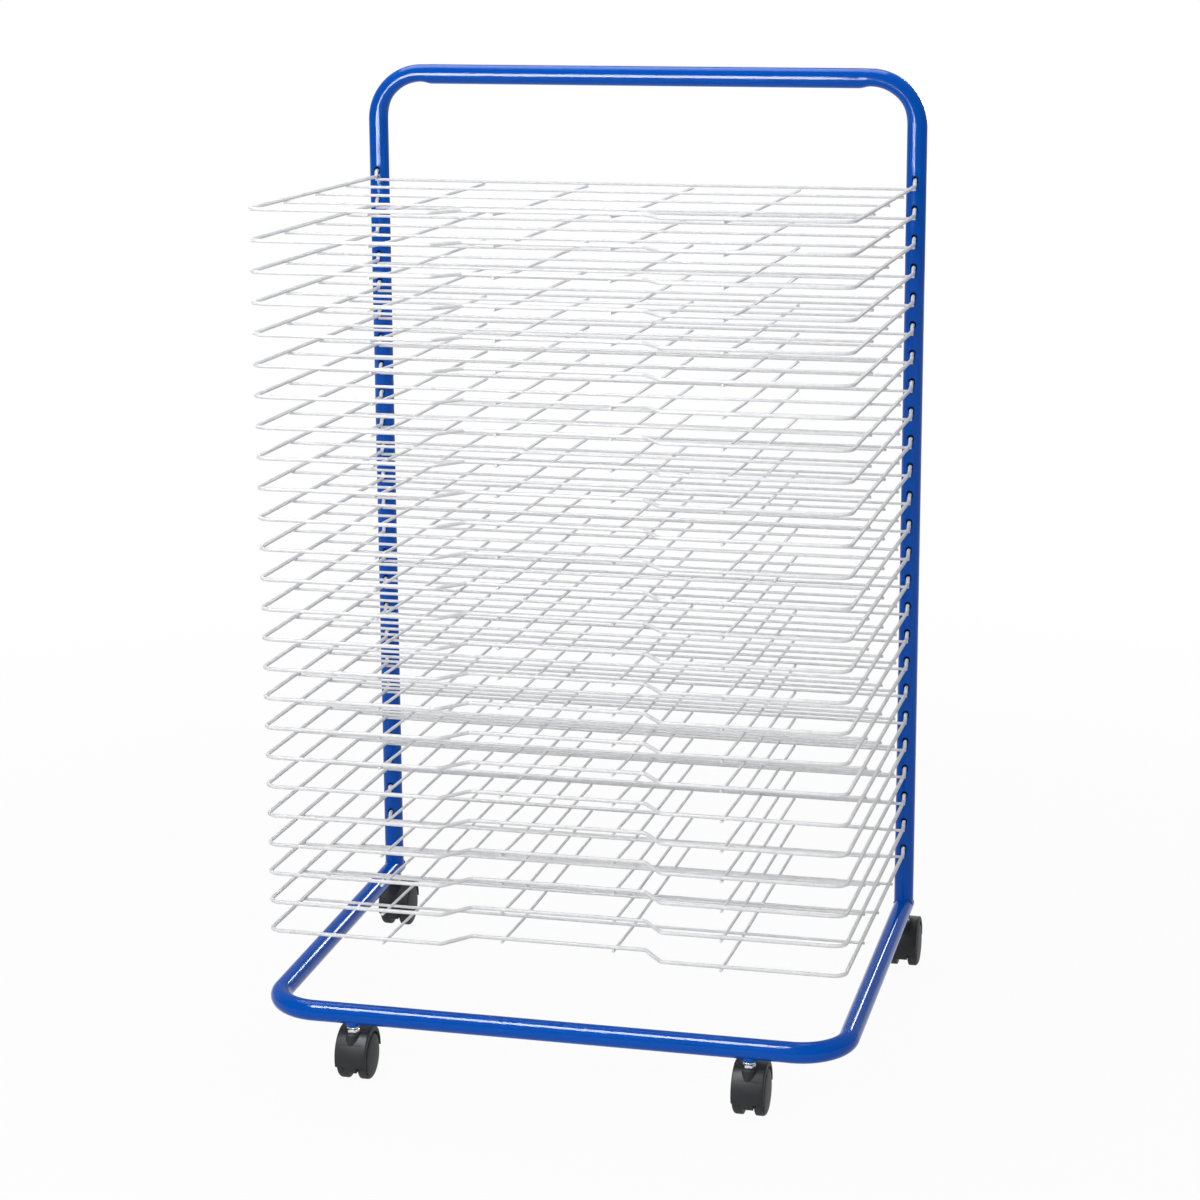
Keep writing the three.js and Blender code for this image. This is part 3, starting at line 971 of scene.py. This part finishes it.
def wheel():
    """A wheel about its axle, with the domed face to the right; each end closes at a tiny radius."""
    face = [(share * FACE_R, WHEEL_OUT + WHEEL_DOME * (1 - share ** 2)) for share in FACE_SHARES]
    shoulder = []
    for i in range(SHOULDER_TURNS + 1):
        angle = math.pi / 2 * i / SHOULDER_TURNS
        shoulder.append((
            WHEEL_R - SHOULDER_DEPTH * (1 - math.sin(angle)),
            WHEEL_OUT - SHOULDER_STEP - SHOULDER_WIDTH * (1 - math.cos(angle)),
        ))
    inside = [(WHEEL_R - loss, WHEEL_IN + inset) for loss, inset in INNER_EDGE]
    bore = [(AXLE_BORE_R, WHEEL_IN), (AXLE_BORE_R, AXLE_DEPTH), (TINY, AXLE_DEPTH)]
    return moved(turned(face + shoulder + inside + bore, WHEEL_SIDES), ALONG_X)


# %% The nut
NUT_FLATS = 12.4
NUT_CORNER = NUT_FLATS / math.sqrt(3)
NUT_BODY = 4.0
NUT_CHAMFER = 0.9
CONE_LOW_R = NUT_FLATS / 2 - 0.3
CONE_HIGH_R = NUT_CORNER + 0.1
WAIST_R = 5.0
WAIST_SINK = 1
WASHER_R = 6.5
WASHER_THICK = 1.2
WASHER_EDGE = 0.3
WASHER_UNDER = 0.2
NUT_PAST = 1
nut_low, nut_high = (corner.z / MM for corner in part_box("caster_nut_front_left"))


def nut():
    """A hexagon with coned corners, its waist and washer above, and a bore through all."""
    body_top = nut_low + NUT_BODY
    hexagon = turned([(NUT_CORNER, nut_low), (NUT_CORNER, body_top)], 6)
    coned = turned([
        (TINY, nut_low),
        (CONE_LOW_R, nut_low),
        (CONE_HIGH_R, nut_low + NUT_CHAMFER),
        (CONE_HIGH_R, body_top - NUT_CHAMFER),
        (CONE_LOW_R, body_top),
        (TINY, body_top),
    ])
    under_washer = nut_high - WASHER_THICK
    washer = turned([
        (TINY, nut_low + WAIST_SINK),
        (WAIST_R, nut_low + WAIST_SINK),
        (WAIST_R, under_washer),
        (WASHER_R - WASHER_UNDER, under_washer),
        (WASHER_R, under_washer + WASHER_EDGE),
        (WASHER_R, nut_high - WASHER_EDGE),
        (WASHER_R - WASHER_EDGE, nut_high),
        (TINY, nut_high),
    ])
    bore = turned([(BORE_R, nut_low - NUT_PAST), (BORE_R, nut_high + NUT_PAST)], BORE_SIDES)
    return carved(hexagon, ("INTERSECT", coned), ("UNION", washer), ("DIFFERENCE", bore))


# %% Put the casters together
wheel_mesh = make_mesh("caster_wheel", wheel(), wheel_plastic(WHEEL_R), crease=30)
nut_mesh = make_mesh("flanged_nut", nut(), PLATED_STEEL, crease=20)
for corner, stem in STEMS.items():
    at = Vector((stem.x, stem.y, 0))
    body = "caster_" + corner
    place("hood_" + corner, hood_mesh, body, "caster_hood_" + corner, at)
    place("nut_" + corner, nut_mesh, "frame", "caster_nut_" + corner, at)
    hub = at + Vector((0, TRAIL, WHEEL_R))
    for side, turn in (("right", 0), ("left", math.pi)):
        node = f"wheel_{side}_{corner}"
        place("twin_" + node, wheel_mesh, node, node, hub, (0, 0, turn))
print("casters:", len(STEMS), "wheel points:", len(wheel_mesh.vertices))

# %% Caps on the rails
CAP_FLANGE = 2
CAP_DOME = [(0.5, 0.1), (0.8, 0.45)]
CAP_R = TUBE_R - 0.1
CAP_EDGE = [(TUBE_R - 0.5, 0.95), (CAP_R, 1.35)]
CAP_SEAT = 0.3
SPIGOT_R = TUBE_R - TUBE_WALL - 0.3
SPIGOT_END_R = TUBE_R - TUBE_WALL - 0.5
SPIGOT = 4.5


def rail_cap():
    """A low dome over the tube's end, with a spigot that tapers into its bore."""
    face = [(TINY, CAP_FLANGE)]
    face += [(share * TUBE_R, CAP_FLANGE - drop) for share, drop in CAP_DOME]
    face += [(radius, CAP_FLANGE - drop) for radius, drop in CAP_EDGE]
    spigot = [(CAP_R, CAP_SEAT), (SPIGOT_R, CAP_SEAT), (SPIGOT_END_R, -SPIGOT), (TINY, -SPIGOT)]
    return moved(turned(face + spigot), Matrix.Rotation(-math.pi / 2, 4, "X"))


cap_mesh = make_mesh("rail_cap", rail_cap(), HOOD_PLASTIC, crease=40)
for side, sign in (("left", -1), ("right", 1)):
    at = Vector((sign * POST_X, RAIL_END, RAIL_Z))
    place("end_cap_" + side, cap_mesh, "frame", "rail_cap_" + side, at)
print("cap points:", len(cap_mesh.vertices))

# %% The steel that stays as it is
STEEL_NAMES = ("caster_stem", "caster_axle", "post_plug")
steel_solids = [solid for name, solid in frame["nodes"].items() if name.startswith(STEEL_NAMES)]
for solid in steel_solids:
    solid.data.materials.clear()
    solid.data.materials.append(PLATED_STEEL)
print("steel solids kept:", len(steel_solids))

# %% [markdown]
# ## Floor, light and camera
# The photograph is a catalogue picture: pure white all round, soft light from above and in
# front. The floor is a pale sheet that keeps the shadow, and what the camera sees of it
# runs to white with distance, so that no edge shows.

# %% What the camera sees as white
def white_for_lookers(tree):
    """1 for rays from the camera, a mirror or a clear body, and 0 for light itself."""
    rays = ("Is Camera Ray", "Is Glossy Ray", "Is Transmission Ray")
    camera, mirror, clear = (tree.node("ShaderNodeLightPath", output=ray) for ray in rays)
    return tree.maths("MAXIMUM", tree.maths("MAXIMUM", camera, mirror), clear)


# %% The floor
PAPER_DARK = (0.62, 0.62, 0.62)
PAPER_LIGHT = (0.66, 0.66, 0.66)
SHADOW = 0.05
SHADOW_FROM = 0.7
SHADOW_TO = 2.2
FLOOR_RADII = (6000, 3000, 1000, 100)
FLOOR_SIDES = 64


def floor_paper():
    """White to the camera but for a share of shadow, which fades out with distance."""
    material, here = new_finish("floor_paper")
    mottle = here.noise(40, detail=2.0)
    share = (1 - SHADOW) + here.length().between(SHADOW_FROM, SHADOW_TO) * SHADOW
    colour = mottle.blend(PAPER_DARK, PAPER_LIGHT)
    paper = here.node("ShaderNodeBsdfDiffuse", inputs={"Color": colour})
    glow = here.node("ShaderNodeEmission", inputs={"Color": (1, 1, 1, 1), "Strength": 1.0})
    mix = {0: white_for_lookers(here) * share, 1: paper, 2: glow}
    mixed = here.node("ShaderNodeMixShader", inputs=mix)
    here.node("ShaderNodeOutputMaterial", inputs={"Surface": mixed})
    return material


# The lid over the outer ring is left out: it would cover the floor with a second one.
floor_points, floor_faces = skin([circle(radius, FLOOR_SIDES) for radius in FLOOR_RADII])
floor_faces.pop(-2)
floor = add("floor", make_mesh("floor", (floor_points, floor_faces), floor_paper()))
print("floor:", 2 * max(FLOOR_RADII) * MM, "m across")

# %% The world
AMBIENT = 0.42
DARK_FRONT = 0.10
DIM_REAR = 0.5
FRONT_ENDS = -0.35
REAR_STARTS = 0.45
world = bpy.data.worlds.new("studio")
bpy.context.scene.world = world
world.use_nodes = True
world.node_tree.nodes.clear()
sky = Signal(world.node_tree)

# Gloss sees a room that is dark in front and half bright behind, so that the tubes stay blue.
glossy = sky.node("ShaderNodeLightPath", output="Is Glossy Ray")
heading = sky.node("ShaderNodeTexCoord", output="Generated")
towards_rear = sky.node("ShaderNodeSeparateXYZ", inputs={0: heading}, output="Y")
room = DARK_FRONT + towards_rear.between(FRONT_ENDS, REAR_STARTS) * (DIM_REAR - DARK_FRONT)
seen = 1 - glossy * (1 - room)
lookers = white_for_lookers(sky)
glow = AMBIENT * (1 - lookers) + lookers * seen
background = sky.node("ShaderNodeBackground", inputs={"Color": (1, 1, 1, 1), "Strength": glow})
sky.node("ShaderNodeOutputWorld", inputs={"Surface": background})
print("world:", world.name)


# %% The lamps
def softbox(name, at, target, size, radiance, shade=True, shine=True):
    """A flat lamp of an even radiance that can be left out of shading or of reflections."""
    lamp = bpy.data.lights.new(name, "AREA")
    lamp.shape = "RECTANGLE"
    lamp.size, lamp.size_y = size
    lamp.energy = radiance * math.pi * size[0] * size[1]
    stand = add(name, lamp)
    stand.location = at
    aim = Vector(target) - Vector(at)
    stand.rotation_euler = aim.to_track_quat("-Z", "Y").to_euler()
    stand.visible_camera = False
    stand.visible_diffuse = shade
    stand.visible_glossy = shine
    print("lamp:", name)


# Two lamps only shade the rack, and the other three show only in its gloss.
softbox("overhead", at=(-0.4, 0.45, 3.2), target=(0, 0, 0.5),
        size=(2.4, 1.5), radiance=3.9, shine=False)
softbox("front_fill", at=(-0.4, -2.7, 1.6), target=(0, 0, 0.4),
        size=(2.2, 1.4), radiance=5.0, shine=False)
softbox("sheen", at=(-0.7, 0.98, 3.2), target=(-0.7, 0.97, 0),
        size=(2.8, 2.2), radiance=7, shade=False)
softbox("front_panel", at=(-0.25, -0.61, 1.0), target=(-0.25, 0.23, 0.455),
        size=(0.7, 0.48), radiance=60, shade=False)
softbox("rear_strip", at=(0.367, 2.22, 0.99), target=(0, 0, 0.08),
        size=(0.32, 0.4), radiance=24, shade=False)
bpy.context.scene.view_settings.view_transform = "Standard"

# %% The camera
FILM_WIDTH = 36
FOCAL_PX = 3071.8
FRAME_PX = 1200
SHIFT = 0.05
CAMERA_AT = (0.7478, -3.1511, 1.2968)
YAW, PITCH, ROLL = (math.radians(angle) for angle in (14.49, 13.052, 0.582))
camera_data = bpy.data.cameras.new("camera")
camera_data.sensor_width = FILM_WIDTH
camera_data.lens = FOCAL_PX / FRAME_PX * FILM_WIDTH
camera_data.shift_x = SHIFT
camera_data.shift_y = -SHIFT
camera = add("camera", camera_data)
facing = Matrix.Rotation(YAW, 4, "Z") @ Matrix.Rotation(math.pi / 2 - PITCH, 4, "X")
camera.matrix_world = Matrix.Translation(CAMERA_AT) @ facing @ Matrix.Rotation(-ROLL, 4, "Z")
bpy.context.scene.camera = camera
print("lens:", round(camera_data.lens, 1), "mm")
